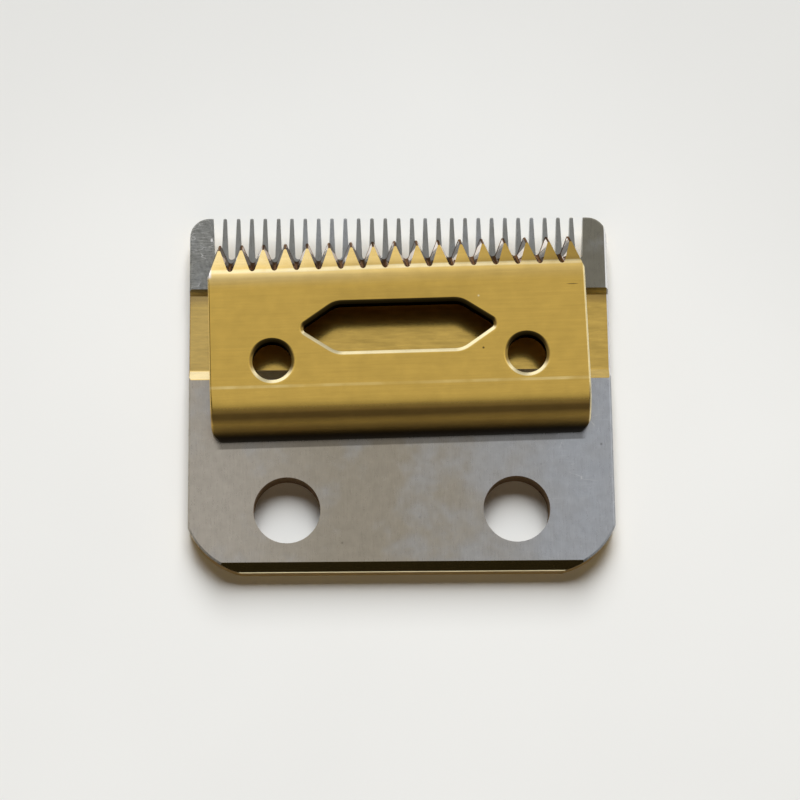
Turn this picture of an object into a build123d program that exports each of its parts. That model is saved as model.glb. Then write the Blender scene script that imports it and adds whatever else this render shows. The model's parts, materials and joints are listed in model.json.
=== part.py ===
from build123d import *
import os
from math import cos, radians, sin, tan

# Hair clipper blade set, in millimetres: a fixed comb blade lying on its underside (z = 0),
# teeth towards +Y, and the cutter that lies on its ground face and runs across it along X.
# The origin is under the middle of the fixed blade.

# Fixed blade: plate
blade_width = 46.0
blade_length = 39.44
blade_thickness = 3.0
guard_corner_radius = 2.1
rear_corner_run = 5.7
rear_corner_rise = 4.8
rear_corner_bulge = 0.9
rear_bevel = 1.02
rear_lip_radius = 0.3
side_edge_break = 0.2

# Fixed blade: underside relief that thins the teeth towards their tips
relief_length = 11.0
tip_thickness = 0.9
tip_nose_radius = 0.55

# Fixed blade: comb teeth
comb_teeth = 27
comb_pitch = 1.473
comb_tooth_length = 4.75
comb_tip_width = 0.37
comb_tip_radius = 0.15
comb_flank_angle = 2.35
comb_root_fill = 0.96

# Fixed blade: oil groove across the ground face
groove_from_tips = 8.12
groove_width = 10.24
groove_depth = 0.65
groove_front_run = 0.62
groove_rear_run = 1.2

# Fixed blade: the two mounting holes
mount_spacing = 24.75
mount_diameter = 7.2
mount_from_rear = 6.65

# Cutter: where it lies on the ground face
cutter_setback = 2.7
cutter_shift = -0.52
cutter_skew = 1.4

# Cutter: arched section, measured back from the tooth tips
cutter_depth = 22.2
cutter_height = 4.7
cutter_wall = 1.5
lip_height = 2.8
lip_angle = 29.5
front_bend_radius = 3.3
heel_bend_run = 4.9
heel_width = 1.6
heel_corner_radius = 1.2
front_land = 4.2
hollow_front_angle = 60.0
hollow_front_radius = 1.0
edge_round = 0.3

# Cutter: teeth ground by a wheel that leans back from the tips
cutter_teeth = 17
cutter_pitch = 2.4
cutter_tip_width = 0.24
cutter_tip_radius = 0.13
cutter_root_radius = 0.36
wheel_half_angle = 25.0
wheel_lean = 63.0

# Cutter: drive window and the two follower holes
window_length = 21.3
window_flat_length = 13.5
window_width = 5.25
window_from_tips = 10.9
window_corner_radius = 2.4
window_point_radius = 0.5
follower_spacing = 27.4
follower_diameter = 4.2
follower_from_tips = 14.35
rim_run = 0.4
rim_drop = 0.24
rim_radius = 1.0

# Places that follow from the sizes above
comb_tip_y = blade_length / 2
blade_rear_y = -blade_length / 2
corner_side_y = blade_rear_y + rear_corner_rise
corner_rear_x = blade_width / 2 - rear_corner_run
comb_root_y = comb_tip_y - comb_tooth_length
comb_row_half = (comb_teeth + 1) * comb_pitch / 2
comb_growth = comb_tooth_length * tan(radians(comb_flank_angle))
comb_root_width = comb_tip_width + 2 * comb_growth
comb_root_radius = comb_root_fill * (comb_pitch - comb_root_width) / 2
guard_inner_tip = comb_row_half - comb_tip_width / 2
guard_inner_root = guard_inner_tip - comb_growth
past_edge = 1.0

groove_front_y = comb_tip_y - groove_from_tips
groove_rear_y = groove_front_y - groove_width
groove_floor_z = blade_thickness - groove_depth
mount_y = blade_rear_y + mount_from_rear

cutter_width = cutter_teeth * cutter_pitch
lip_front = lip_height / tan(radians(wheel_lean))
front_bend = lip_front + (cutter_height - lip_height) / tan(radians(lip_angle))
heel_bend = cutter_depth - heel_bend_run
hollow_ceiling = cutter_height - cutter_wall
hollow_front = front_land + hollow_ceiling / tan(radians(hollow_front_angle))
hollow_rear = cutter_depth - heel_width
wheel_reach = cutter_depth + cutter_height
wheel_depth = (cutter_pitch - cutter_tip_width) / 2 / tan(radians(wheel_half_angle))

# The cutter's own frame: origin between the tooth tips on the ground face, y forwards
seat = Plane(
    origin=(cutter_shift, comb_tip_y - cutter_setback, blade_thickness),
    x_dir=(cos(radians(cutter_skew)), sin(radians(cutter_skew)), 0),
    z_dir=(0, 0, 1),
)
seat_section = Plane(origin=seat.origin, x_dir=seat.y_dir, z_dir=seat.x_dir)
wheel_path = seat.z_dir * sin(radians(wheel_lean)) - seat.y_dir * cos(radians(wheel_lean))
wheel_section = Plane(origin=seat.origin, x_dir=seat.x_dir, z_dir=wheel_path)

# One comb tooth in plan, tip at the origin, reaching a little behind the gap's root
with BuildSketch() as comb_tooth:
    with BuildLine():
        Polyline(
            (-comb_tip_width / 2, 0),
            (comb_tip_width / 2, 0),
            (comb_root_width / 2, -comb_tooth_length),
            (comb_root_width / 2, -comb_tooth_length - past_edge),
            (-comb_root_width / 2, -comb_tooth_length - past_edge),
            (-comb_root_width / 2, -comb_tooth_length),
            close=True,
        )
    make_face()
    fillet(comb_tooth.vertices().group_by(Axis.Y)[-1], comb_tip_radius)

# The gaps between the teeth: the space between the two guards, less the teeth
with BuildSketch() as comb_gaps:
    with BuildLine():
        Polyline(
            (-guard_inner_root, comb_root_y),
            (guard_inner_root, comb_root_y),
            (guard_inner_tip, comb_tip_y),
            (guard_inner_tip, comb_tip_y + past_edge),
            (-guard_inner_tip, comb_tip_y + past_edge),
            (-guard_inner_tip, comb_tip_y),
            close=True,
        )
    make_face()
    with Locations((0, comb_tip_y)):
        with GridLocations(comb_pitch, 0, comb_teeth, 1):
            add(comb_tooth.sketch, mode=Mode.SUBTRACT)
    fillet(comb_gaps.vertices().group_by(Axis.Y)[0], comb_root_radius)

# Fixed blade: its side section across the whole width, trimmed to its outline
with BuildPart() as fixed_blade:
    with BuildSketch(Plane.YZ) as blade_section:
        with BuildLine():
            Polyline(
                (blade_rear_y, 0),
                (comb_tip_y - relief_length, 0),
                (comb_tip_y, blade_thickness - tip_thickness),
                (comb_tip_y, blade_thickness),
                (groove_front_y, blade_thickness),
                (groove_front_y - groove_front_run, groove_floor_z),
                (groove_rear_y + groove_rear_run, groove_floor_z),
                (groove_rear_y, blade_thickness),
                (blade_rear_y + rear_bevel, blade_thickness),
                (blade_rear_y, blade_thickness - rear_bevel),
                close=True,
            )
        make_face()
        nose = blade_section.vertices().group_by(Axis.X)[-1].sort_by(Axis.Y)[0]
        fillet(nose, tip_nose_radius)
        rear_lip = blade_section.vertices().group_by(Axis.X)[0].sort_by(Axis.Y)[-1]
        fillet(rear_lip, rear_lip_radius)
    extrude(amount=blade_width / 2, both=True)
    with BuildSketch() as blade_outline:
        with BuildLine():
            Polyline(
                (-blade_width / 2, corner_side_y),
                (-blade_width / 2, comb_tip_y),
                (blade_width / 2, comb_tip_y),
                (blade_width / 2, corner_side_y),
            )
            SagittaArc((blade_width / 2, corner_side_y), (corner_rear_x, blade_rear_y), rear_corner_bulge)
            Line((corner_rear_x, blade_rear_y), (-corner_rear_x, blade_rear_y))
            SagittaArc((-corner_rear_x, blade_rear_y), (-blade_width / 2, corner_side_y), rear_corner_bulge)
        make_face()
        fillet(blade_outline.vertices().group_by(Axis.Y)[-1], guard_corner_radius)
    extrude(amount=blade_thickness, mode=Mode.INTERSECT)
    side_edges = fixed_blade.edges().group_by(Axis.Z)[-1].filter_by(Axis.X, reverse=True)
    chamfer(side_edges, side_edge_break)
    add(comb_gaps.sketch)
    extrude(amount=blade_thickness, mode=Mode.SUBTRACT)
    with BuildSketch():
        with Locations((0, mount_y)):
            with GridLocations(mount_spacing, 0, 2, 1):
                Circle(mount_diameter / 2)
    extrude(amount=blade_thickness, mode=Mode.SUBTRACT)

# Cutter teeth across the wheel's path: tips on y = 0, roots between them, half a root at each side
tooth_points = [(-cutter_width / 2, -wheel_depth)]
for tooth in range(cutter_teeth):
    tip_x = (tooth - (cutter_teeth - 1) / 2) * cutter_pitch
    tooth_points.append((tip_x - cutter_tip_width / 2, 0))
    tooth_points.append((tip_x + cutter_tip_width / 2, 0))
    tooth_points.append((tip_x + cutter_pitch / 2, -wheel_depth))

with BuildSketch(wheel_section) as ground_teeth:
    with BuildLine():
        Polyline(
            *tooth_points,
            (cutter_width / 2, -cutter_depth - past_edge),
            (-cutter_width / 2, -cutter_depth - past_edge),
            close=True,
        )
    make_face()
    fillet(ground_teeth.vertices().group_by(Axis.Y)[-1], cutter_tip_radius)
    tooth_roots = ground_teeth.vertices().group_by(Axis.Y)[1].sort_by(Axis.X)[1:-1]
    fillet(tooth_roots, cutter_root_radius)

# Cutter: one arched section, rounded along its sides, hollowed underneath and ground to teeth
with BuildPart() as cutter:
    with BuildSketch(seat_section) as arch_section:
        with BuildLine():
            Polyline(
                (-cutter_depth, 0),
                (0, 0),
                (-lip_front, lip_height),
                (-front_bend, cutter_height),
                (-heel_bend, cutter_height),
            )
            TangentArc((-heel_bend, cutter_height), (-cutter_depth, 0), tangent=(-1, 0))
        make_face()
        front_bend_corner = arch_section.vertices().group_by(Axis.Y)[-1].sort_by(Axis.X)[-1]
        fillet(front_bend_corner, front_bend_radius)
    extrude(amount=cutter_width / 2, both=True)
    sides = cutter.faces().sort_by(Axis.X)
    left_edges = sides[0].edges().sort_by(Axis.Z)[2:]
    right_edges = sides[-1].edges().sort_by(Axis.Z)[2:]
    fillet(left_edges + right_edges, edge_round)
    with BuildSketch(seat_section) as hollow_section:
        with BuildLine():
            Polyline(
                (-hollow_rear, 0),
                (-front_land, 0),
                (-hollow_front, hollow_ceiling),
                (-heel_bend, hollow_ceiling),
            )
            TangentArc((-heel_bend, hollow_ceiling), (-hollow_rear, 0), tangent=(-1, 0))
        make_face()
        front_ceiling_corner = hollow_section.vertices().group_by(Axis.Y)[-1].sort_by(Axis.X)[-1]
        fillet(front_ceiling_corner, hollow_front_radius)
    extrude(amount=cutter_width / 2, both=True, mode=Mode.SUBTRACT)
    with BuildSketch(seat) as heel_outline:
        with Locations((0, -cutter_depth / 2)):
            Rectangle(cutter_width, cutter_depth)
        fillet(heel_outline.vertices().group_by(Axis.Y)[0], heel_corner_radius)
    extrude(amount=cutter_height, mode=Mode.INTERSECT)
    add(ground_teeth.sketch)
    extrude(amount=wheel_reach, dir=wheel_path, both=True, mode=Mode.INTERSECT)
    with BuildSketch(seat) as drive_window:
        with BuildLine():
            Polyline(
                (-window_length / 2, -window_from_tips),
                (-window_flat_length / 2, -window_from_tips + window_width / 2),
                (window_flat_length / 2, -window_from_tips + window_width / 2),
                (window_length / 2, -window_from_tips),
                (window_flat_length / 2, -window_from_tips - window_width / 2),
                (-window_flat_length / 2, -window_from_tips - window_width / 2),
                close=True,
            )
        make_face()
        window_corners = drive_window.vertices().group_by(Axis.X)
        fillet(window_corners[1] + window_corners[2], window_corner_radius)
        window_points = drive_window.vertices().group_by(Axis.X)
        fillet(window_points[0] + window_points[-1], window_point_radius)
        with Locations((0, -follower_from_tips)):
            with GridLocations(follower_spacing, 0, 2, 1):
                Circle(follower_diameter / 2)
    extrude(amount=cutter_height, mode=Mode.SUBTRACT)
    top_face = cutter.faces().sort_by(Axis.Z)[-1]
    chamfer(top_face.inner_wires().edges(), rim_run, rim_drop, reference=top_face)
    top_face = cutter.faces().sort_by(Axis.Z)[-1]
    fillet(top_face.inner_wires().edges(), rim_radius)

os.makedirs("parts", exist_ok=True)
fixed_blade.part.label = "fixed_blade"
cutter.part.label = "cutter"
export_step(fixed_blade.part, "parts/fixed_blade.step")
export_step(cutter.part, "parts/cutter.step")
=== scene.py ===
import json
import math

import bmesh
import bpy
from mathutils import Matrix, Vector


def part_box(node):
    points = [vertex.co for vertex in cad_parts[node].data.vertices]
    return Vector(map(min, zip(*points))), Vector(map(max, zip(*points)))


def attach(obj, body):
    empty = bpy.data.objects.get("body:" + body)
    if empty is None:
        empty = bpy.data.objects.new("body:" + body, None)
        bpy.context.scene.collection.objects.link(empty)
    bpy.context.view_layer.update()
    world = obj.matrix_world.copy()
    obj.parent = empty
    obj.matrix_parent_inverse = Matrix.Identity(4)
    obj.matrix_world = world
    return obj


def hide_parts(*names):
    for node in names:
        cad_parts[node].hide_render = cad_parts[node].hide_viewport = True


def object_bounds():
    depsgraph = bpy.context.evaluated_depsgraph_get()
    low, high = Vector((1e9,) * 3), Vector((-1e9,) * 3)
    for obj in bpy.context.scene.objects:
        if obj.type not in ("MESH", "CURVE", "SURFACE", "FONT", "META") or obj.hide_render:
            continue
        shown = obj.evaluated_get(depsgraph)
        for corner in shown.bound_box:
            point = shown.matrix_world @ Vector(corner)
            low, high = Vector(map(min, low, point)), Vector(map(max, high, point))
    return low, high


bl_info = {
    "name": "Hair clipper blade set",
    "version": (1, 0, 0),
    "blender": (4, 5, 0),
    "location": "3D View > Sidebar > Clipper blade",
    "description": "Finishes a fixed comb blade and its cutter, and sets them on a pale stage",
    "category": "Object",
}

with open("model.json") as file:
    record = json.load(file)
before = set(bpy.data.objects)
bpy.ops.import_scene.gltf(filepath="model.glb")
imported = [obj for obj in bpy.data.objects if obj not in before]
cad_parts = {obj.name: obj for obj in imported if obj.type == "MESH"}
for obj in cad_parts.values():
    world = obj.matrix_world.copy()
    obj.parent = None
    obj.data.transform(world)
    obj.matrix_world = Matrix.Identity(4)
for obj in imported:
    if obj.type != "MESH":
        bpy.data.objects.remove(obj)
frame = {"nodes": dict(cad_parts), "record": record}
cad_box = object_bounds()

MM = 0.001

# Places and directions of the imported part, in metres
MOUNTS = {mount["name"]: mount for mount in frame["record"]["mounts"]}
FOLLOWER_LEFT = Vector(MOUNTS["follower_hole_left"]["pos_m"])
FOLLOWER_RIGHT = Vector(MOUNTS["follower_hole_right"]["pos_m"])
CUTTER_ROW = (FOLLOWER_RIGHT - FOLLOWER_LEFT).normalized()
CUTTER_FORWARD = Vector((-CUTTER_ROW.y, CUTTER_ROW.x, 0))
PLATE_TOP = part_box("fixed_blade")[1].z
COMB_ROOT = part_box("fixed_blade")[1].y - 5.0 * MM
END_LAND = 0.35 * MM
BROKEN_EDGE = 0.25 * MM
ARCH_FRONT, ARCH_REAR = 4.3 * MM, 21 * MM
HOLES_FRONT, HOLES_REAR = 6 * MM, 17 * MM

# How meshes are joined and where their edges stay crisp
WELD = 0.002 * MM
FLAT_ANGLE = math.radians(0.2)
SHARP_ANGLE = math.radians(26)

# Limits that tell faces apart by one part of their normal
LEVEL = 0.99
MOSTLY_UP = 0.5
UPRIGHT = 0.1
WHEEL_SLOPE = 0.6
SIDEWAYS = 0.7
BACKWARD = -0.05

# Material slots of the cutter; the last four hold painted shade, the root one with an oil film too
SATIN_GOLD, GROUND_FLANK, SHADED_FLANK, GRIMY_SHADED_ROOT, SHADED_HOLLOW, SHADED_WALL = range(6)

# Places on the fixed blade for its materials, in millimetres; BELOW_FLOOR is just under the
# groove's floor, GUARD_INNER and the start of the right-hand edge's painted highlight are
# distances from the middle
SCREWS = Vector(MOUNTS["mounting_screws"]["pos_m"]) / MM
SCREW_SPACING = MOUNTS["mounting_screws"]["dims"]["spacing_x_mm"]
SCREW_RADIUS = MOUNTS["mounting_screws"]["dims"]["hole_r_mm"]
REAR_LAND_END, FRONT_LAND_START = 6.0, 11.5
GROOVE_REAR, GROOVE_FRONT = 1.36, 11.6
BELOW_FLOOR = 2.3
REAR_WALL_FOOT, FRONT_WALL_FOOT = 2.5, 11.0
GUARD_INNER = 20.6
LIT_EDGE = 22.74

# Places on the cutter for its materials, in millimetres ahead of its tooth tips
LIP_REAR, LIP_FRONT = -4.15, -3.9
CREST = (-4.4, -4.12)
FLAT_TOP = (-17.0, -6.2)
HEEL_LINE = (-17.3, -17.1)
HEEL_START, HEEL_FULL = -19.1, -20.0
FOOT_START, FOOT_FULL = -21.4, -22.0
HEEL_SHADOW = (-22.85, -22.1)

# Places on the cutter, in millimetres along its row from the middle and above its seat
TOP_HALF = 19.5
SIDE_START, SIDE_FULL = 20.12, 20.3
HOLE_FOOT = 2.9

# The camera as fitted to the photograph
PICTURE_WIDTH = 800
SENSOR_WIDTH = 36.0
LENS = 107.08
CAMERA_PLACE = Vector((-6.805, -59.545, 254.8)) * MM
CAMERA_FORWARD = Vector((0.0262, 0.2262, -0.9737))
CAMERA_UP = Vector((0.0060, 0.9740, 0.226))

# Where the light comes from
KEY_TOWARDS = Vector((0.02, 0.71, 0.70))
KEY_DISTANCE = 3.0
KEY_SIZE = (1.7, 2.4)
FILL_TOWARDS = Vector((0.0, -0.9, 0.43))
FILL_ANGLE = math.radians(70)
CEILING_TOWARDS = Vector((0.05, 0.40, 0.92))
CEILING_RADII = (72, 42)
ASIDE_TOWARDS = Vector((0.80, 0.45, 0.40))
ASIDE_RADII = (33, 16)
ASIDE_LEVEL = 0.55
BACKDROP = (0.9, 0.9, 0.88)

# The paper: its half width and its gap under the blade in metres, the rest in millimetres
PAPER_HALF = 6.0
PAPER_GAP = 0.02 * MM
PAPER_MIDDLE = (0, -25)
PAPER_PALE, PAPER_DIM = 42.0, 85.0


def colour_property(name, description, default):
    """A colour that a user may change."""
    return bpy.props.FloatVectorProperty(
        name=name, description=description, subtype="COLOR", size=3, min=0, max=1,
        default=default)


class BladeFinish(bpy.types.PropertyGroup):
    """Colours, wear and painted light and shade of the fixed blade"""

    ground_colour: colour_property(
        "Ground steel", "Bare ground steel of the rear land", (0.44, 0.39, 0.31))
    pale_colour: colour_property(
        "Pale steel", "Cleaner steel towards the left of the rear land", (0.58, 0.53, 0.46))
    front_colour: colour_property(
        "Front land", "Darker steel of the comb teeth and the left guard", (0.30, 0.30, 0.28))
    guard_colour: colour_property(
        "Right guard", "Warmer, darker steel of the right guard", (0.24, 0.225, 0.18))
    smudge_colour: colour_property(
        "Blue smudge", "Tint of the oily smudges on the ground steel", (0.50, 0.53, 0.58))
    # Also the painted highlight along the right-hand edge; the scratches and scuffs are marks in
    # the steel.
    bare_steel_and_highlight_colour: colour_property(
        "Bright edge", "Bare steel of scratches and of the rubbed right-hand edge",
        (0.95, 0.94, 0.92))
    # Also painted shade: the rear bevel, the groove under the front land and the shadow line behind
    # the cutter's heel; the specks are dirt.
    oil_and_shade_colour: colour_property(
        "Old oil", "Black oil on the bevel, in specks and along the cutter's heel",
        (0.03, 0.02, 0.01))
    coat_colour: colour_property(
        "Gold coat", "Coating left in the groove, on the edges and underneath",
        (0.74, 0.50, 0.125))
    # Painted highlight on the groove's rear wall and on the rear lip, and the groove paler towards
    # its left end.
    pale_coat_and_highlight_colour: colour_property(
        "Rubbed coat", "Pale coating on the rear wall of the groove and along the rear lip",
        (0.88, 0.78, 0.52))
    # Painted shade: brown in the groove's front corner and on the plate's side walls.
    brown_shade_colour: colour_property(
        "Brown coat", "Oily coating in the front corner of the groove and on the plate's sides",
        (0.30, 0.19, 0.07))
    # Painted shade on the walls of the mounting holes.
    bore_shade_colour: colour_property(
        "Bore", "Dull brown walls of the mounting holes", (0.20, 0.12, 0.06))
    edge_round: bpy.props.FloatProperty(
        name="Rubbed edge", description="How far the rubbing has rounded the right-hand edge",
        unit="LENGTH", min=0, max=0.0002, default=0.09 * MM)


class CutterFinish(bpy.types.PropertyGroup):
    """Colours, wear and painted light and shade of the cutter"""

    coat_colour: colour_property(
        "Gold coat", "Satin coating of the pressed cutter", (0.79, 0.52, 0.115))
    # Also the painted highlights on the front crest, the near rims and the right-hand edge; on the
    # lip, wear and painted highlight.
    worn_and_highlight_colour: colour_property(
        "Worn coat", "Paler coating where the crests and rims are rubbed", (0.93, 0.80, 0.48))
    # Painted highlight along the crease where the heel bend starts.
    crease_highlight_colour: colour_property(
        "Burnished coat", "Brighter coating of the fine line before the heel",
        (0.96, 0.72, 0.28))
    # Painted shade: the heel's brown, where it mirrors the dim room and shaded paper.
    brown_shade_colour: colour_property(
        "Heel", "Browner coating of the heel", (0.40, 0.22, 0.07))
    # Painted shade on the heel, the left side, the rim ends, behind the teeth and before the
    # window, and the lip darker towards the right; the short scratch is a real mark.
    grime_and_shade_colour: colour_property(
        "Grime", "Dark film on the lip, the heel and the left side", (0.10, 0.06, 0.02))
    # Also painted shade: the foot, the far rims and the walls of the window and holes; the small
    # spot is oil.
    oil_and_shade_colour: colour_property(
        "Old oil", "Black oil along the foot and in the holes", (0.012, 0.008, 0.004))
    flank_colour: colour_property(
        "Ground flank", "Bare steel where the wheel cut the teeth", (0.98, 0.93, 0.91))
    # Painted shade: a shaded copy of the ground flank for the flanks that face right.
    shaded_flank_colour: colour_property(
        "Straw flank", "Browner steel of the flanks that face right", (0.56, 0.51, 0.47))
    # Oil film and painted shade in the valleys and along the foot of the flanks.
    film_and_shade_colour: colour_property(
        "Root film", "Brown film in the valleys and on the tooth ends", (0.19, 0.12, 0.08))
    film_and_shade_height: bpy.props.FloatProperty(
        name="Film height", description="How far the brown film reaches up the flanks",
        unit="LENGTH", min=0, max=0.003, default=0.6 * MM)
    # Painted shade under the arch.
    hollow_shade_colour: colour_property(
        "Oily hollow", "Coating under the arch, darkened by oil", (0.30, 0.20, 0.09))
    tooth_depth: bpy.props.FloatProperty(
        name="Tooth depth", description="How far back from the tips the wheel reached",
        unit="LENGTH", min=0.001, max=0.01, default=5.2 * MM)


class StageLight(bpy.types.PropertyGroup):
    """Paper and light"""

    paper_colour: colour_property(
        "Paper", "Pale sheet under the blade set", (0.835, 0.85, 0.84))
    key_power: bpy.props.FloatProperty(
        name="Key power", description="Tall soft box beyond the teeth",
        unit="POWER", min=0, max=1000, default=138)
    fill_colour: colour_property(
        "Fill", "Warm light of the room", (1.0, 0.72, 0.45))
    fill_strength: bpy.props.FloatProperty(
        name="Fill strength", description="Low soft light from behind the blade",
        min=0, max=10, default=0.6)
    dome_bright: bpy.props.FloatProperty(
        name="Dome overhead", description="Brightness of the ceiling",
        min=0, max=2, default=0.6)
    dome_dim: bpy.props.FloatProperty(
        name="Dome low down", description="Brightness of the room near the horizon",
        min=0, max=2, default=0.10)


def put(tree, kind, sockets=None, **settings):
    """Adds a node with its settings, and sets or links each named socket."""
    node = tree.nodes.new(kind)
    for name, value in settings.items():
        setattr(node, name, value)
    for name, value in (sockets or {}).items():
        if isinstance(value, bpy.types.NodeSocket):
            tree.links.new(value, node.inputs[name])
        else:
            node.inputs[name].default_value = value
    return node


def vector_math(tree, operation, first, second=(0, 0, 0)):
    """One step of vector arithmetic, as its node."""
    return put(tree, "ShaderNodeVectorMath", {0: first, 1: second}, operation=operation)


def calc(tree, operation, first, second=0.0):
    """One step of arithmetic, as a value socket."""
    return put(tree, "ShaderNodeMath", {0: first, 1: second}, operation=operation).outputs[0]


def split(tree, vector):
    """The three parts of a vector, as value sockets."""
    return put(tree, "ShaderNodeSeparateXYZ", {"Vector": vector}).outputs[:]


def blend(tree, factor, below, above, blend_type="MIX"):
    """Mixes two colours and gives the colour socket."""
    node = put(tree, "ShaderNodeMix", {0: factor, 6: below, 7: above},
               data_type="RGBA", blend_type=blend_type)
    return node.outputs[2]


def shaded(tree, colour, shade):
    """A colour times a brightness."""
    return blend(tree, 1.0, colour, shade, blend_type="MULTIPLY")


def remap(tree, value, low, high, to_low=0.0, to_high=1.0, kind="SMOOTHSTEP"):
    """Stretches a value from one range to another, held at its ends."""
    node = put(tree, "ShaderNodeMapRange", {
        "Value": value, "From Min": low, "From Max": high, "To Min": to_low, "To Max": to_high,
    }, interpolation_type=kind)
    return node.outputs["Result"]


def vary(tree, value, reach, low, high):
    """Stretches noise about its middle, as far as reach on each side, evenly from low to high."""
    return remap(tree, value, 0.5 - reach, 0.5 + reach, low, high, kind="LINEAR")


def noise(tree, vector, scale, detail=2.0, roughness=0.5):
    """Plain noise from 0 to 1, as a value socket."""
    node = put(tree, "ShaderNodeTexNoise", {
        "Vector": vector, "Scale": scale, "Detail": detail, "Roughness": roughness,
    })
    return node.outputs["Fac"]


def rgba(colour):
    """A colour property with its alpha."""
    return (*colour, 1.0)


def both(tree, *masks):
    """The product of several masks."""
    result = masks[0]
    for mask in masks[1:]:
        result = calc(tree, "MULTIPLY", result, mask)
    return result


def tint(tree, colour, target, *masks):
    """Mixes a colour towards a plain colour by the product of some masks."""
    return blend(tree, both(tree, *masks), colour, rgba(target))


def band(tree, value, low, high, soft):
    """A mask that is 1 from low to high and fades over a soft edge."""
    rising = remap(tree, value, low - soft, low)
    falling = remap(tree, value, high + soft, high)
    return calc(tree, "MULTIPLY", rising, falling)


def distance(tree, place, centre, scale=(1, 1)):
    """How far a place is from an upright line, with its own scale along X and Y."""
    offset = vector_math(tree, "SUBTRACT", place, (*centre, 0)).outputs["Vector"]
    scaled = vector_math(tree, "MULTIPLY", offset, (*scale, 0)).outputs["Vector"]
    return vector_math(tree, "LENGTH", scaled).outputs["Value"]


def mark(tree, place, centre, reach):
    """A small soft oval, 1 in its middle; it goes right through the piece."""
    far = distance(tree, place, centre, (1 / reach[0], 1 / reach[1]))
    return remap(tree, far, 1.0, 0.4)


def own_frame(tree, place, tips):
    """Places seen from the cutter: along its row, ahead of its tips, above its seat."""
    turn = math.atan2(CUTTER_ROW.y, CUTTER_ROW.x)
    own = put(tree, "ShaderNodeMapping", {
        "Vector": place, "Location": tips / MM, "Rotation": (0, 0, turn)}, vector_type="TEXTURE")
    return own.outputs["Vector"]


def shader_group(name, inputs, outputs):
    """An empty shader node group with its sockets; inputs and outputs are name and kind."""
    group = bpy.data.node_groups.new(name, "ShaderNodeTree")
    for socket, kind in inputs:
        group.interface.new_socket(socket, in_out="INPUT", socket_type="NodeSocket" + kind)
    for socket, kind in outputs:
        group.interface.new_socket(socket, in_out="OUTPUT", socket_type="NodeSocket" + kind)
    entry = group.nodes.new("NodeGroupInput")
    leave = group.nodes.new("NodeGroupOutput")
    return group, entry.outputs, leave.inputs


def streaks_group(name):
    """Fine lines along one direction, as a grinding wheel or a press leaves them."""
    group, given, result = shader_group(
        name, [("Vector", "Vector"), ("Stretch", "Vector"), ("Detail", "Float")],
        [("Streaks", "Float")])
    drawn = vector_math(group, "MULTIPLY", given["Vector"], given["Stretch"]).outputs["Vector"]
    lines = noise(group, drawn, 1.0, given["Detail"], roughness=0.65)
    group.links.new(lines, result["Streaks"])
    return group


def smudges_group(name):
    """Cloudy patches that tint a colour."""
    group, given, result = shader_group(
        name, [("Vector", "Vector"), ("Scale", "Float"), ("Amount", "Float"),
               ("Colour", "Color"), ("Tint", "Color")],
        [("Colour", "Color")])
    cloud = noise(group, given["Vector"], given["Scale"], detail=4.0, roughness=0.6)
    amount = both(group, remap(group, cloud, 0.45, 0.68), given["Amount"])
    colour = blend(group, amount, given["Colour"], given["Tint"])
    group.links.new(colour, result["Colour"])
    return group


def scratches_group(name):
    """Thin stray scratches that lie roughly along one direction."""
    group, given, result = shader_group(
        name, [("Vector", "Vector"), ("Rotation", "Vector"), ("Stretch", "Vector"),
               ("Width", "Float"), ("Share", "Float")],
        [("Mask", "Float")])
    turned = put(group, "ShaderNodeMapping", {
        "Vector": given["Vector"], "Rotation": given["Rotation"], "Scale": given["Stretch"]})
    cells = put(group, "ShaderNodeTexVoronoi", {
        "Vector": turned.outputs["Vector"], "Scale": 1.0},
        feature="DISTANCE_TO_EDGE", voronoi_dimensions="2D")
    line = remap(group, cells.outputs["Distance"], given["Width"], 0.0)
    cloud = noise(group, given["Vector"], 0.45, detail=3.0)
    broken = remap(group, calc(group, "ADD", cloud, given["Share"]), 0.95, 1.1)
    group.links.new(both(group, line, broken), result["Mask"])
    return group


def specks_group(name):
    """Sparse round specks."""
    group, given, result = shader_group(
        name, [("Vector", "Vector"), ("Scale", "Float"), ("Size", "Float"), ("Share", "Float")],
        [("Mask", "Float")])
    cells = put(group, "ShaderNodeTexVoronoi", {
        "Vector": given["Vector"], "Scale": given["Scale"]})
    dot = remap(group, cells.outputs["Distance"], given["Size"], 0.0)
    draw = split(group, cells.outputs["Color"])[0]
    chosen = calc(group, "LESS_THAN", draw, given["Share"])
    group.links.new(both(group, dot, chosen), result["Mask"])
    return group


GROUPS = {
    "Streaks": streaks_group,
    "Smudges": smudges_group,
    "Scratches": scratches_group,
    "Specks": specks_group,
}


def shared(tree, name, sockets):
    """Places a shared group, made on its first use, and gives its one output."""
    group = bpy.data.node_groups.get(name) or GROUPS[name](name)
    return put(tree, "ShaderNodeGroup", sockets, node_tree=group).outputs[0]


def start_material(name):
    """An empty material with its Principled shader, and its Object coordinates in millimetres."""
    material = bpy.data.materials.new(name)
    material.use_nodes = True
    tree = material.node_tree
    tree.nodes.clear()
    shader = put(tree, "ShaderNodeBsdfPrincipled", {"Metallic": 1.0})
    output = put(tree, "ShaderNodeOutputMaterial")
    tree.links.new(shader.outputs["BSDF"], output.inputs["Surface"])
    coords = put(tree, "ShaderNodeTexCoord").outputs["Object"]
    scaled = put(tree, "ShaderNodeVectorMath", {0: coords, "Scale": 1 / MM}, operation="SCALE")
    return material, tree, shader, scaled.outputs["Vector"]


def faint_bump(tree, shader, height, strength):
    """A bump too fine to be modelled."""
    bump = put(tree, "ShaderNodeBump", {
        "Strength": strength, "Distance": 0.02 * MM, "Height": height})
    tree.links.new(bump.outputs["Normal"], shader.inputs["Normal"])


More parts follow.
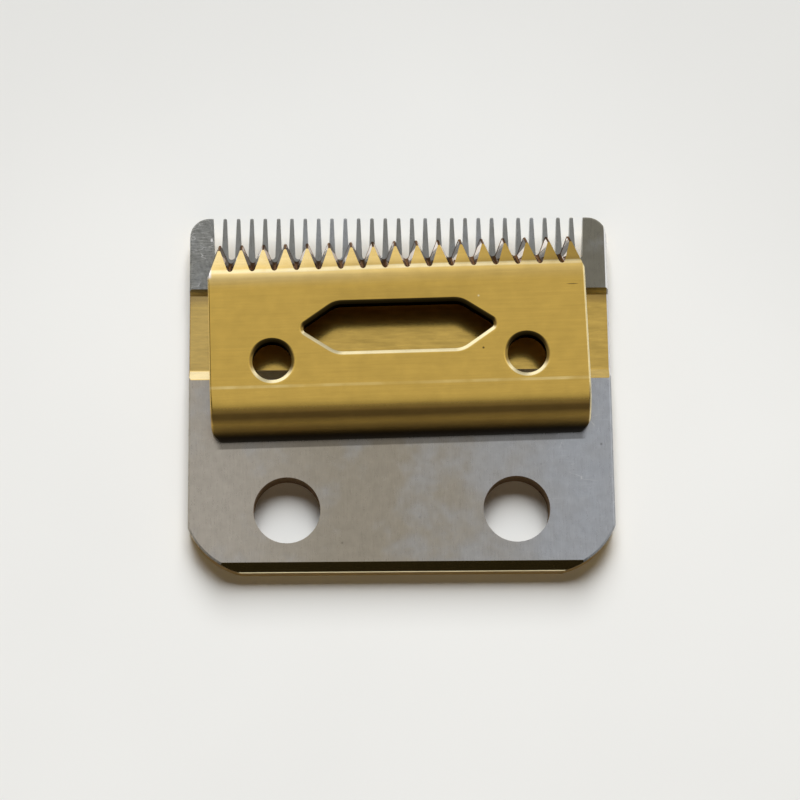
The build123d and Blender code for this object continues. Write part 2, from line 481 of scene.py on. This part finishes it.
def ground_steel(finish, tips):
    """Bare steel, flat ground, with fine lines, scratches, specks and oily smudges, a painted
    highlight along its right-hand edge and a painted shadow line behind the cutter's heel.
    """
    material, tree, shader, place = start_material("ground_steel")
    x, y, _ = split(tree, place)
    lines = shared(tree, "Streaks", {
        "Vector": place, "Stretch": (5.0, 0.6, 1.0), "Detail": 5.0})
    to_front = remap(tree, y, REAR_LAND_END, FRONT_LAND_START)
    at_rear = calc(tree, "SUBTRACT", 1.0, to_front)
    colour = blend(tree, to_front, rgba(finish.ground_colour), rgba(finish.front_colour))
    to_right = remap(tree, x, 2.0, 21.0, 0.0, 0.8)
    colour = tint(tree, colour, finish.smudge_colour, at_rear, to_right)
    to_left = remap(tree, x, -6.0, -20.0, 0.0, 0.75)
    colour = tint(tree, colour, finish.pale_colour, at_rear, to_left)
    colour = tint(tree, colour, finish.guard_colour, to_front, remap(tree, x, 19.0, 20.5))
    colour = shared(tree, "Smudges", {
        "Vector": place, "Scale": 0.14, "Amount": 0.4,
        "Colour": colour, "Tint": rgba(finish.smudge_colour)})
    mottle = vary(tree, noise(tree, place, 1.1, detail=5.0, roughness=0.65), 0.2, 0.93, 1.07)
    colour = shaded(tree, colour, both(tree, mottle, vary(tree, lines, 0.25, 0.92, 1.08)))
    colour = land_wear(tree, colour, finish, place, to_front, at_rear)
    colour = land_dirt_and_shade(tree, colour, finish, place, tips)
    # Painted highlight: a bright line along the right-hand edge, as lit from the right.
    worn_and_lit = both(tree, remap(tree, x, LIT_EDGE - 0.06, LIT_EDGE),
                  remap(tree, y, 8.0, 8.5))
    colour = tint(tree, colour, finish.bare_steel_and_highlight_colour, worn_and_lit)
    tree.links.new(colour, shader.inputs["Base Color"])
    tree.links.new(vary(tree, lines, 0.3, 0.24, 0.34), shader.inputs["Roughness"])
    faint_bump(tree, shader, lines, 0.05)
    return material


def land_wear(tree, colour, finish, place, to_front, at_rear):
    """Scratches on the lands, a blotched and scuffed left guard and its one bright nick."""
    x = split(tree, place)[0]
    slanting = shared(tree, "Scratches", {
        "Vector": place, "Rotation": (0, 0, math.radians(35)), "Stretch": (0.25, 2.2, 1.0),
        "Width": 0.035, "Share": 0.42})
    worn_and_lit = calc(tree, "MAXIMUM",
                  both(tree, to_front, remap(tree, x, 0.6 - GUARD_INNER, -GUARD_INNER, 0.0, 0.5)),
                  both(tree, at_rear, remap(tree, x, 12.0, 21.0, 0.08, 0.45)))
    colour = tint(tree, colour, finish.bare_steel_and_highlight_colour, slanting, worn_and_lit)
    left_guard = both(tree, to_front, remap(tree, x, 0.8 - GUARD_INNER, -GUARD_INNER))
    blotch = vary(tree, noise(tree, place, 2.0, detail=6.0, roughness=0.7), 0.15, 0.72, 1.3)
    colour = blend(tree, left_guard, colour, shaded(tree, colour, blotch))
    scuffs = shared(tree, "Scratches", {
        "Vector": place, "Rotation": (0, 0, math.radians(-55)), "Stretch": (0.5, 2.6, 1.0),
        "Width": 0.06, "Share": 0.55})
    colour = tint(tree, colour, finish.bare_steel_and_highlight_colour, scuffs, left_guard, 0.5)
    nick = mark(tree, place, (-20.62, 17.2), (0.18, 0.28))
    return tint(tree, colour, finish.bare_steel_and_highlight_colour, nick)


def land_dirt_and_shade(tree, colour, finish, place, tips):
    """Specks of dirt on the lands and a painted shadow line along the cutter's heel."""
    dirt = shared(tree, "Specks", {"Vector": place, "Scale": 0.6, "Size": 0.13, "Share": 0.22})
    colour = tint(tree, colour, finish.oil_and_shade_colour, dirt, 0.55)
    along, ahead, _ = split(tree, own_frame(tree, place, tips))
    off_middle = calc(tree, "ABSOLUTE", along)
    # Painted shadow: a dark line on the land just behind the cutter's heel.
    heel_shadow_line = both(tree, band(tree, ahead, *HEEL_SHADOW, 0.15),
                    remap(tree, off_middle, 20.2, 19.4))
    return tint(tree, colour, finish.oil_and_shade_colour, heel_shadow_line, 0.5)


def gold_coat(tree, shader, place, colour, stretch, roughness):
    """Gold-coloured coating with faint drawn lines, a cloudy tone and a fine grain."""
    lines = shared(tree, "Streaks", {"Vector": place, "Stretch": stretch, "Detail": 4.0})
    grain = noise(tree, place, 7.0, detail=3.0)
    cloud = vary(tree, noise(tree, place, 0.6, detail=4.0), 0.2, 0.95, 1.05)
    shade = both(tree, cloud, vary(tree, lines, 0.25, 0.94, 1.06))
    tree.links.new(shaded(tree, colour, shade), shader.inputs["Base Color"])
    spread = vary(tree, grain, 0.2, 0.9, 1.2)
    tree.links.new(both(tree, spread, roughness), shader.inputs["Roughness"])
    faint_bump(tree, shader, grain, 0.04)


def groove_coat(finish):
    """The coating left on the fixed blade where the grinding wheel didn't reach, with painted shade
    and highlights on its bevel, lip, sides, bores, groove and right-hand edge.
    """
    material, tree, shader, place = start_material("groove_coat")
    x, y, z = split(tree, place)
    in_groove = both(tree, band(tree, y, GROOVE_REAR, GROOVE_FRONT, 0.05),
                     remap(tree, z, BELOW_FLOOR - 0.1, BELOW_FLOOR))
    off_middle = calc(tree, "ABSOLUTE", x)
    # Painted highlight on the rear wall of the groove in the middle, where the follower holes show
    # it.
    lit_rear_wall = both(tree, in_groove, remap(tree, y, REAR_WALL_FOOT + 0.1, REAR_WALL_FOOT),
                     remap(tree, off_middle, 18.5, 17.0))
    left_hole, right_hole = (
        distance(tree, place, (SCREWS.x + side * SCREW_SPACING / 2, SCREWS.y))
        for side in (-1, 1))
    bore = remap(tree, calc(tree, "MINIMUM", left_hole, right_hole),
                 SCREW_RADIUS + 0.3, SCREW_RADIUS + 0.1)
    colour = groove_wear_and_light(tree, finish, place, in_groove, lit_rear_wall)
    # Painted shade: the rear bevel, which faces away from the light, made near black.
    bevel = both(tree, remap(tree, y, -18.6, -18.8), remap(tree, z, 2.06, 2.12))
    colour = tint(tree, colour, finish.oil_and_shade_colour, bevel, 0.86)
    # Painted highlight: a pale line on the rounded edge under the rear bevel.
    lip = both(tree, remap(tree, y, -19.5, -19.62), band(tree, z, 1.85, 2.08, 0.02))
    colour = tint(tree, colour, finish.pale_coat_and_highlight_colour, lip, 0.9)
    # Painted shade: the plate's side walls below the chamfer darkened to brown.
    sides = both(tree, remap(tree, off_middle, 22.9, 22.98), remap(tree, z, 2.78, 2.72))
    colour = tint(tree, colour, finish.brown_shade_colour, sides, 0.8)
    # Painted shade: the walls of the mounting holes made dark brown.
    colour = tint(tree, colour, finish.bore_shade_colour, bore, 0.95)
    # Painted highlight on the chamfer of the right-hand edge, as lit from the right.
    worn_and_lit = both(tree, remap(tree, x, LIT_EDGE + 0.08, LIT_EDGE + 0.14),
                  remap(tree, z, BELOW_FLOOR - 0.1, BELOW_FLOOR))
    colour = tint(tree, colour, finish.bare_steel_and_highlight_colour, worn_and_lit)
    front_wall = both(tree, in_groove, remap(tree, y, FRONT_WALL_FOOT - 0.1, FRONT_WALL_FOOT))
    dull = calc(tree, "MAXIMUM", bore, calc(tree, "MAXIMUM", front_wall, lit_rear_wall))
    roughness = remap(tree, dull, 0.0, 1.0, 0.16, 0.5)
    gold_coat(tree, shader, place, colour, (0.5, 3.0, 1.0), roughness)
    return material


def groove_wear_and_light(tree, finish, place, in_groove, lit_rear_wall):
    """The coat's own colour, and in the groove its cross lines, a paler left end, painted shade in
    its front corner and under the front land, and a painted highlight on its rear wall.
    """
    x, y, _ = split(tree, place)
    cross = shared(tree, "Streaks", {
        "Vector": place, "Stretch": (0.35, 2.4, 1.0), "Detail": 5.0})
    coat = rgba(finish.coat_colour)
    mottled = shaded(tree, coat, vary(tree, cross, 0.2, 0.84, 1.14))
    colour = blend(tree, in_groove, coat, mottled)
    # Painted shade: brown on the groove's floor next to its front wall, where the land above shades
    # it.
    corner = both(tree, remap(tree, y, 9.6, 10.9, 0.0, 0.65),
                  remap(tree, y, FRONT_WALL_FOOT + 0.05, FRONT_WALL_FOOT - 0.05))
    colour = tint(tree, colour, finish.brown_shade_colour, in_groove, corner)
    # Painted shade: the groove's front wall darker under the front land.
    front_wall_shade = remap(tree, y, 11.2, 11.5, 0.0, 0.5)
    colour = tint(tree, colour, finish.oil_and_shade_colour, in_groove, front_wall_shade)
    to_left = remap(tree, x, -14.0, -20.0, 0.0, 0.12)
    colour = tint(tree, colour, finish.pale_coat_and_highlight_colour, in_groove, to_left)
    # Painted highlight: the rear wall of the groove paler at the left, as lit from beyond the
    # teeth.
    worn_and_lit = both(tree, band(tree, y, 1.5, 2.4, 0.12), remap(tree, x, -15.0, -19.0, 0.12, 0.6))
    colour = tint(tree, colour, finish.pale_coat_and_highlight_colour, in_groove, worn_and_lit)
    return tint(tree, colour, finish.pale_coat_and_highlight_colour, lit_rear_wall, 0.8)


def shaded_hollow(finish):
    """The coating under the arch, made dark as painted shade."""
    material, tree, shader, place = start_material("shaded_hollow")
    shader.inputs["Metallic"].default_value = 0.3
    gold_coat(tree, shader, place, rgba(finish.hollow_shade_colour), (0.3, 1.0, 1.0), 0.4)
    return material


def shaded_wall(finish):
    """The walls of the drive window and of the follower holes, painted black as shade."""
    material, tree, shader, place = start_material("shaded_wall")
    gold_coat(tree, shader, place, rgba(finish.oil_and_shade_colour), (1.0, 1.0, 1.0), 0.4)
    shader.inputs["Specular Tint"].default_value = (0.14, 0.11, 0.06, 1.0)
    return material


def satin_gold(finish, tips):
    """The cutter's coating: worn pale at the left of its lip, with painted highlights on its crest,
    near rims and right-hand edge and painted shade on its heel, foot, far rims and left side.
    """
    material, tree, shader, place = start_material("satin_gold")
    own = own_frame(tree, place, tips)
    ahead = split(tree, own)[1]
    heel = remap(tree, ahead, HEEL_START, HEEL_FULL)
    colour = front_wear_and_light(tree, rgba(finish.coat_colour), finish, place, own)
    colour = rim_light_and_shade(tree, colour, finish, own)
    colour = heel_light_and_shade(tree, colour, finish, own, heel)
    colour = side_light_and_shade(tree, colour, finish, own)
    # Painted shade: the heel's foot made near black.
    foot = remap(tree, ahead, FOOT_START, FOOT_FULL)
    colour = tint(tree, colour, finish.oil_and_shade_colour, foot, 0.92)
    colour = stray_marks(tree, colour, finish, own)
    polish = band(tree, ahead, -5.6, -1.0, 0.4)
    roughness = calc(tree, "ADD", remap(tree, polish, 0.0, 1.0, 0.21, 0.15),
                     remap(tree, heel, 0.0, 1.0, 0.0, 0.2))
    gold_coat(tree, shader, own, colour, (0.15, 4.0, 1.0), roughness)
    return material


def front_wear_and_light(tree, colour, finish, place, own):
    """A lip paler at the left and towards the tips, from wear and painted highlight, and darker at
    the right, with painted shade behind the teeth and before the window, and the painted highlight
    of the crest behind it.
    """
    along, ahead, _ = split(tree, own)
    patchy = remap(tree, noise(tree, place, 0.8, detail=4.0), 0.3, 0.65, 0.7, 1.0)
    # Painted shade: a faint darker band before the drive window.
    before_window_shade = both(tree, band(tree, ahead, -8.0, -6.9, 0.6),
                         band(tree, along, -6.0, 6.0, 5.0))
    colour = tint(tree, colour, finish.grime_and_shade_colour, before_window_shade, 0.1)
    # Wear and painted highlight: the lip paler towards the left and towards the tips.
    on_lip = remap(tree, ahead, LIP_REAR, LIP_FRONT)
    to_tip = remap(tree, ahead, -4.1, -2.8, 0.55, 1.0)
    to_left = remap(tree, along, 14.0, -16.0, 0.0, 0.6)
    colour = tint(tree, colour, finish.worn_and_highlight_colour, on_lip, to_tip, to_left, patchy)
    # The lip darker towards the right.
    to_right = remap(tree, along, 0.0, 19.0, 0.0, 0.45)
    colour = tint(tree, colour, finish.grime_and_shade_colour, on_lip, to_right)
    # Painted shade: the lip darker just before the crest, at the left.
    behind_teeth_shade = both(tree, on_lip, remap(tree, ahead, -3.0, -4.0, 0.05, 0.3),
                        remap(tree, along, -14.0, -6.0))
    colour = tint(tree, colour, finish.grime_and_shade_colour, behind_teeth_shade)
    # Painted highlight fading behind the crest, stronger at the left.
    crest_tail_highlight = both(tree, remap(tree, ahead, -6.4, -4.6), remap(tree, ahead, -4.1, -4.4))
    tail_left = remap(tree, along, 8.0, -14.0, 0.16, 0.42)
    colour = tint(tree, colour, finish.worn_and_highlight_colour, crest_tail_highlight, tail_left)
    # Painted highlight along the crest of the front bend, where it mirrors the window.
    bowed = calc(tree, "ADD", ahead, remap(tree, along, -12.0, 2.0, 0.0, -0.14))
    crest_highlight = both(tree, band(tree, bowed, *CREST, 0.22),
                 remap(tree, along, 19.0, 6.0, 0.6, 0.9))
    return tint(tree, colour, finish.worn_and_highlight_colour, crest_highlight, patchy)


def rim_light_and_shade(tree, colour, finish, own):
    """Rims of the window and the holes: a painted highlight on the near side, painted shade beyond
    and at the ends.
    """
    along, ahead, height = split(tree, own)
    aside, facing, _ = split(tree, put(tree, "ShaderNodeNewGeometry").outputs["Normal"])
    in_top = both(tree, band(tree, ahead, *FLAT_TOP, 0.1),
                  band(tree, along, -TOP_HALF, TOP_HALF, 0.1))
    # Painted highlight on the near rims, which face the light.
    near_rim_highlight = both(tree, in_top, band(tree, height, 4.3, 4.64, 0.03),
                    remap(tree, facing, 0.05, 0.3))
    colour = tint(tree, colour, finish.worn_and_highlight_colour, near_rim_highlight)
    # Painted shade: the far rims, which face away from the light, made black.
    far_rim_shade = both(tree, in_top, band(tree, height, HOLE_FOOT, 4.655, 0.02),
                   remap(tree, facing, -0.06, -0.3))
    colour = tint(tree, colour, finish.oil_and_shade_colour, far_rim_shade, 0.95)
    to_side = remap(tree, calc(tree, "ABSOLUTE", aside), 0.25, 0.45)
    # Painted shade on the rims at the ends, which face sideways.
    end_rim_shade = both(tree, in_top, band(tree, height, HOLE_FOOT, 4.66, 0.02), to_side,
                   remap(tree, facing, 0.35, 0.1))
    return tint(tree, colour, finish.grime_and_shade_colour, end_rim_shade, 0.75)


def heel_light_and_shade(tree, colour, finish, own, heel):
    """The painted highlight of the line before the heel, and the heel's painted brown and dark
    bands of shade.
    """
    along, ahead, _ = split(tree, own)
    broken = remap(tree, noise(tree, own, 0.3), 0.38, 0.6, 0.35, 1.0)
    to_ends = remap(tree, calc(tree, "ABSOLUTE", along), 4.0, 17.0, 0.5, 1.0)
    # Painted highlight along the crease where the heel bend starts.
    line = both(tree, band(tree, ahead, *HEEL_LINE, 0.12), broken, to_ends)
    colour = tint(tree, colour, finish.crease_highlight_colour, line)
    # Painted shade: the heel bend browner, as it mirrors the dim room and shaded paper.
    heel_brown_shade = remap(tree, ahead, -20.4, -20.9, 0.65, 0.35)
    colour = tint(tree, colour, finish.brown_shade_colour, heel, heel_brown_shade)
    # Painted shade: a dark band on the heel bend.
    dark_shade_band = band(tree, ahead, -20.3, -20.05, 0.35)
    colour = tint(tree, colour, finish.grime_and_shade_colour, dark_shade_band, 0.38)
    # Painted shade: the heel darker towards its foot.
    shade_to_foot = remap(tree, ahead, -20.8, FOOT_START, 0.0, 0.6)
    return tint(tree, colour, finish.grime_and_shade_colour, shade_to_foot)


def side_light_and_shade(tree, colour, finish, own):
    """A painted highlight on the right-hand edge, a bare left front corner and painted shade on the
    left side behind it.
    """
    along, ahead, height = split(tree, own)
    # Painted highlight on the right-hand edge, lit from the right.
    right_edge_highlight = both(tree, remap(tree, along, SIDE_START, SIDE_FULL),
                      remap(tree, height, 0.6, 1.0))
    colour = tint(tree, colour, finish.worn_and_highlight_colour, right_edge_highlight)
    corner = both(tree, remap(tree, along, -19.9, -20.2), remap(tree, ahead, -5.2, -4.8))
    colour = tint(tree, colour, finish.flank_colour, corner)
    # Painted shade on the left side, which faces away from the light.
    left_side_shade = both(tree, remap(tree, along, -SIDE_START, -SIDE_FULL),
                     remap(tree, ahead, -4.8, -5.2, 0.0, 0.12))
    return tint(tree, colour, finish.grime_and_shade_colour, left_side_shade)


def stray_marks(tree, colour, finish, own):
    """A short dark scratch, an oil spot and a pale dot on the cutter's top."""
    scratch = mark(tree, own, (18.95, -6.76), (0.8, 0.08))
    colour = tint(tree, colour, finish.grime_and_shade_colour, scratch, 0.7)
    spot = mark(tree, own, (9.01, -13.6), (0.16, 0.16))
    colour = tint(tree, colour, finish.oil_and_shade_colour, spot, 0.8)
    dot = mark(tree, own, (8.73, -7.8), (0.14, 0.14))
    return tint(tree, colour, finish.worn_and_highlight_colour, dot)


def bright_flank(name, colour, edge):
    """Bare steel, ground almost to a mirror; edge tints it where it is seen along the surface."""
    material, tree, shader, place = start_material(name)
    lines = shared(tree, "Streaks", {
        "Vector": place, "Stretch": (1.0, 1.0, 6.0), "Detail": 3.0})
    shade = vary(tree, lines, 0.25, 0.94, 1.06)
    tree.links.new(shaded(tree, rgba(colour), shade), shader.inputs["Base Color"])
    shader.inputs["Specular Tint"].default_value = rgba(edge)
    tree.links.new(vary(tree, lines, 0.3, 0.02, 0.06), shader.inputs["Roughness"])
    return material


def grimy_shaded_root(finish):
    """Brown oil film and painted shade in the valleys, on the tooth ends and along the foot of the
    flanks.
    """
    material, tree, shader, place = start_material("grimy_shaded_root")
    cloud = noise(tree, place, 3.0, detail=4.0)
    colour = shaded(tree, rgba(finish.film_and_shade_colour), vary(tree, cloud, 0.2, 0.6, 1.5))
    tree.links.new(colour, shader.inputs["Base Color"])
    shader.inputs["Specular Tint"].default_value = (0.50, 0.37, 0.29, 1.0)
    tree.links.new(vary(tree, cloud, 0.2, 0.15, 0.3), shader.inputs["Roughness"])
    return material


def joined_solid(node_name):
    """A bmesh of a CAD node with its loose triangles joined and its flat faces made whole."""
    solid = bmesh.new()
    solid.from_mesh(frame["nodes"][node_name].data)
    bmesh.ops.remove_doubles(solid, verts=solid.verts, dist=WELD)
    bmesh.ops.dissolve_limit(
        solid, angle_limit=FLAT_ANGLE, verts=solid.verts[:], edges=solid.edges[:])
    return solid


def finished_piece(name, solid, materials):
    """Turns a bmesh into a plain mesh object with smooth bends and crisp edges."""
    for face in solid.faces:
        face.smooth = True
    for edge in solid.edges:
        edge.smooth = edge.calc_face_angle(0.0) < SHARP_ANGLE
    rough = bpy.data.meshes.new(name + "_rough")
    solid.to_mesh(rough)
    solid.free()
    piece = bpy.data.objects.new(name, rough)
    bpy.context.scene.collection.objects.link(piece)
    level = piece.modifiers.new("Flat faces stay flat", "WEIGHTED_NORMAL")
    level.mode = "FACE_AREA"
    level.keep_sharp = True
    depsgraph = bpy.context.evaluated_depsgraph_get()
    finished = bpy.data.meshes.new_from_object(
        piece.evaluated_get(depsgraph), depsgraph=depsgraph)
    piece.modifiers.clear()
    piece.data = finished
    finished.name = name
    bpy.data.meshes.remove(rough)
    for material in materials:
        finished.materials.append(material)
    return piece


def cutter_tip_line():
    """The middle of the line through the cutter's tooth tips, on the plate."""
    points = [vert.co for vert in frame["nodes"]["cutter"].data.vertices]
    row = [point.dot(CUTTER_ROW) for point in points]
    middle = CUTTER_ROW * (min(row) + max(row)) / 2
    tips = CUTTER_FORWARD * max(point.dot(CUTTER_FORWARD) for point in points)
    return Vector((*(middle + tips).xy, PLATE_TOP))


def cut_by_wheel(face, tip_line, inside_row, depth):
    """Whether a face of the cutter is one that the grinding wheel left between its teeth."""
    middle = face.calc_center_median() - tip_line
    in_teeth = middle.dot(CUTTER_FORWARD) > -depth and abs(middle.dot(CUTTER_ROW)) < inside_row
    ahead = face.normal.dot(CUTTER_FORWARD) > BACKWARD
    return in_teeth and ahead and abs(face.normal.z) < WHEEL_SLOPE


def cutter_slot(face, tip_line, inside_row, finish):
    """The material slot of one face of the cutter."""
    middle = face.calc_center_median() - tip_line
    behind = -middle.dot(CUTTER_FORWARD)
    within = abs(middle.dot(CUTTER_ROW)) < inside_row
    if cut_by_wheel(face, tip_line, inside_row, finish.tooth_depth):
        turned = face.normal.dot(CUTTER_ROW)
        # Valleys, tooth ends and the foot of the flanks take the oil film with painted shade.
        if abs(turned) < SIDEWAYS or middle.z < finish.film_and_shade_height:
            return GRIMY_SHADED_ROOT
        # Flanks that face right take the painted-shade copy of the ground flank.
        return GROUND_FLANK if turned < 0 else SHADED_FLANK
    if face.normal.z < -LEVEL and middle.z < WELD:
        return GROUND_FLANK
    if face.normal.z < -UPRIGHT and within and ARCH_FRONT < behind < ARCH_REAR:
        return SHADED_HOLLOW
    if abs(face.normal.z) < UPRIGHT and within and HOLES_FRONT < behind < HOLES_REAR:
        return SHADED_WALL
    return SATIN_GOLD


class CLIPPER_OT_fixed_blade(bpy.types.Operator):
    """Finish the fixed blade: ground lands and teeth, gold coat elsewhere"""

    bl_idname = "clipper.fixed_blade"
    bl_label = "Fixed blade"

    def execute(self, context):
        finish = context.scene.clipper_blade
        solid = joined_solid("fixed_blade")
        right = [edge for edge in solid.edges if all(
            vert.co.x > cad_box[1].x - BROKEN_EDGE and vert.co.z > PLATE_TOP - WELD
            for vert in edge.verts)]
        bmesh.ops.bevel(
            solid, geom=right, offset=finish.edge_round, segments=3, profile=0.5,
            affect="EDGES")
        for face in solid.faces:
            middle = face.calc_center_bounds()
            land = face.normal.z > MOSTLY_UP and middle.z > PLATE_TOP - BROKEN_EDGE
            face.material_index = 0 if land or middle.y > COMB_ROOT else 1
        blade = finished_piece("fixed_blade_finished", solid, [
            ground_steel(finish, cutter_tip_line()), groove_coat(finish)])
        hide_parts("fixed_blade")
        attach(blade, "fixed_blade")
        return {"FINISHED"}


class CLIPPER_OT_cutter(bpy.types.Operator):
    """Finish the cutter: satin gold coat, bare steel where the wheel cut the teeth"""

    bl_idname = "clipper.cutter"
    bl_label = "Cutter"

    def execute(self, context):
        finish = context.scene.clipper_cutter
        solid = joined_solid("cutter")
        tip_line = cutter_tip_line()
        half_row = max((vert.co - tip_line).dot(CUTTER_ROW) for vert in solid.verts)
        inside_row = half_row - END_LAND
        flanks = [face for face in solid.faces
                  if cut_by_wheel(face, tip_line, inside_row, finish.tooth_depth)]
        around = dict.fromkeys(part for face in flanks for part in (*face.edges, *face.verts))
        bmesh.ops.bisect_plane(
            solid, geom=[*flanks, *around],
            plane_co=tip_line + Vector((0, 0, finish.film_and_shade_height)), plane_no=(0, 0, 1))
        for face in solid.faces:
            face.material_index = cutter_slot(face, tip_line, inside_row, finish)
        cutter = finished_piece("cutter_finished", solid, [
            satin_gold(finish, tip_line),
            bright_flank("ground_flank", finish.flank_colour, (1.0, 0.97, 0.96)),
            bright_flank("shaded_flank", finish.shaded_flank_colour, (0.80, 0.68, 0.62)),
            grimy_shaded_root(finish), shaded_hollow(finish), shaded_wall(finish)])
        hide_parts("cutter")
        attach(cutter, "cutter")
        return {"FINISHED"}


class CLIPPER_OT_stage(bpy.types.Operator):
    """Lay the paper, set the light and place the camera"""

    bl_idname = "clipper.stage"
    bl_label = "Stage"

    def execute(self, context):
        light = context.scene.clipper_stage
        lay_paper(light)
        light_dome(light)
        key = bpy.data.lights.new("key", "AREA")
        key.shape = "RECTANGLE"
        key.size, key.size_y = KEY_SIZE
        key.energy = light.key_power
        aim_lamp(key, KEY_TOWARDS, KEY_DISTANCE)
        fill = bpy.data.lights.new("fill", "SUN")
        fill.color = light.fill_colour
        fill.energy = light.fill_strength
        fill.angle = FILL_ANGLE
        aim_lamp(fill, FILL_TOWARDS, 1.0)
        place_camera()
        context.scene.view_settings.view_transform = "Standard"
        return {"FINISHED"}


def lay_paper(light):
    """A large pale sheet just under the blade, with painted shade that makes it a little darker far
    out.
    """
    mesh = bpy.data.meshes.new("paper")
    sheet = bmesh.new()
    bmesh.ops.create_grid(sheet, x_segments=1, y_segments=1, size=PAPER_HALF)
    sheet.to_mesh(mesh)
    sheet.free()
    paper = bpy.data.objects.new("paper", mesh)
    bpy.context.scene.collection.objects.link(paper)
    mesh.transform(Matrix.Translation((0, 0, cad_box[0].z - PAPER_GAP)))
    material, tree, shader, place = start_material("paper")
    shader.inputs["Metallic"].default_value = 0.0
    shader.inputs["Roughness"].default_value = 0.9
    cloud = remap(tree, noise(tree, place, 0.02, detail=3.0), 0.3, 0.7, 0.985, 1.01)
    reach = distance(tree, place, PAPER_MIDDLE)
    # Painted shade: the paper darker far from the blade.
    far_shade = remap(tree, reach, PAPER_PALE, PAPER_DIM, 1.0, 0.88)
    colour = shaded(tree, rgba(light.paper_colour), both(tree, cloud, far_shade))
    tree.links.new(colour, shader.inputs["Base Color"])
    mesh.materials.append(material)


def cap(tree, direction, axis, radii, low, high):
    """Brightness of a soft round patch of the dome; its outer and inner radius are in degrees."""
    near = vector_math(tree, "DOT_PRODUCT", direction, axis.normalized()).outputs["Value"]
    rim, middle = (math.cos(math.radians(radius)) for radius in radii)
    return remap(tree, near, rim, middle, low, high)


def light_dome(light):
    """What the metal mirrors: a soft ceiling, a low window beyond the teeth and a pale side."""
    world = bpy.data.worlds.new("soft_dome")
    world.use_nodes = True
    tree = world.node_tree
    tree.nodes.clear()
    direction = put(tree, "ShaderNodeTexCoord").outputs["Generated"]
    sideways, forward, upward = split(tree, direction)
    ceiling = cap(
        tree, direction, CEILING_TOWARDS, CEILING_RADII, light.dome_dim, light.dome_bright)
    window = both(tree, remap(tree, upward, -0.02, 0.10), remap(tree, upward, 0.92, 0.42),
                  remap(tree, sideways, 0.18, -0.10), remap(tree, sideways, -0.8, -0.5),
                  remap(tree, forward, 0.1, 0.4, 0.0, 0.7))
    aside = cap(tree, direction, ASIDE_TOWARDS, ASIDE_RADII, 0.0, ASIDE_LEVEL)
    level = calc(tree, "ADD", calc(tree, "ADD", ceiling, window), aside)
    seen = put(tree, "ShaderNodeLightPath").outputs["Is Camera Ray"]
    colour = blend(tree, seen, level, rgba(BACKDROP))
    back = put(tree, "ShaderNodeBackground", {"Color": colour, "Strength": 1.0})
    output = put(tree, "ShaderNodeOutputWorld")
    tree.links.new(back.outputs["Background"], output.inputs["Surface"])
    world.cycles_visibility.diffuse = False
    bpy.context.scene.world = world


def aim_lamp(lamp, towards, distance_away):
    """Hangs a lamp that lights the paper from a direction; the metal shows the dome instead."""
    holder = bpy.data.objects.new(lamp.name, lamp)
    holder.location = towards.normalized() * distance_away
    holder.rotation_euler = (-towards).to_track_quat("-Z", "Y").to_euler()
    holder.visible_glossy = False
    holder.visible_camera = False
    bpy.context.scene.collection.objects.link(holder)


def camera_axes(forward, up):
    """The right, up and forward directions of a view, at right angles to one another."""
    forward = forward.normalized()
    right = forward.cross(up).normalized()
    return right, right.cross(forward), forward


def place_camera():
    """The camera above the blade, a little behind it."""
    data = bpy.data.cameras.new("camera")
    data.sensor_width = SENSOR_WIDTH
    data.lens = LENS
    data.clip_start = 0.01
    camera = bpy.data.objects.new("camera", data)
    # The fit counts from the middles of pixels, so the view is turned by half a pixel each way
    half_pixel = 0.5 * SENSOR_WIDTH / LENS / PICTURE_WIDTH
    right, up, forward = camera_axes(CAMERA_FORWARD, CAMERA_UP)
    right, up, forward = camera_axes(forward + half_pixel * (up - right), up)
    turn = Matrix((right, up, -forward)).transposed().to_4x4()
    camera.matrix_world = Matrix.Translation(CAMERA_PLACE) @ turn
    bpy.context.scene.collection.objects.link(camera)
    bpy.context.scene.camera = camera


class CLIPPER_PT_sidebar(bpy.types.Panel):
    """Finishes and steps of the blade set"""

    bl_label = "Clipper blade"
    bl_space_type = "VIEW_3D"
    bl_region_type = "UI"
    bl_category = "Clipper blade"

    def draw(self, context):
        for settings, operator in STEPS:
            box = self.layout.box()
            group = getattr(context.scene, settings)
            for name in group.__annotations__:
                box.prop(group, name)
            box.operator(operator.bl_idname)


STEPS = (
    ("clipper_blade", CLIPPER_OT_fixed_blade),
    ("clipper_cutter", CLIPPER_OT_cutter),
    ("clipper_stage", CLIPPER_OT_stage),
)
SETTINGS = {
    "clipper_blade": BladeFinish,
    "clipper_cutter": CutterFinish,
    "clipper_stage": StageLight,
}
CLASSES = (*SETTINGS.values(), *(operator for _, operator in STEPS), CLIPPER_PT_sidebar)


def register():
    """Registers the classes and hangs the settings on the scene."""
    for item in CLASSES:
        bpy.utils.register_class(item)
    for name, group in SETTINGS.items():
        setattr(bpy.types.Scene, name, bpy.props.PointerProperty(type=group))


def unregister():
    """Takes the settings and the classes away again."""
    for name in SETTINGS:
        delattr(bpy.types.Scene, name)
    for item in reversed(CLASSES):
        bpy.utils.unregister_class(item)


def main():
    """Makes the whole scene."""
    register()
    bpy.ops.clipper.fixed_blade()
    bpy.ops.clipper.cutter()
    bpy.ops.clipper.stage()


if __name__ == "__main__":
    main()
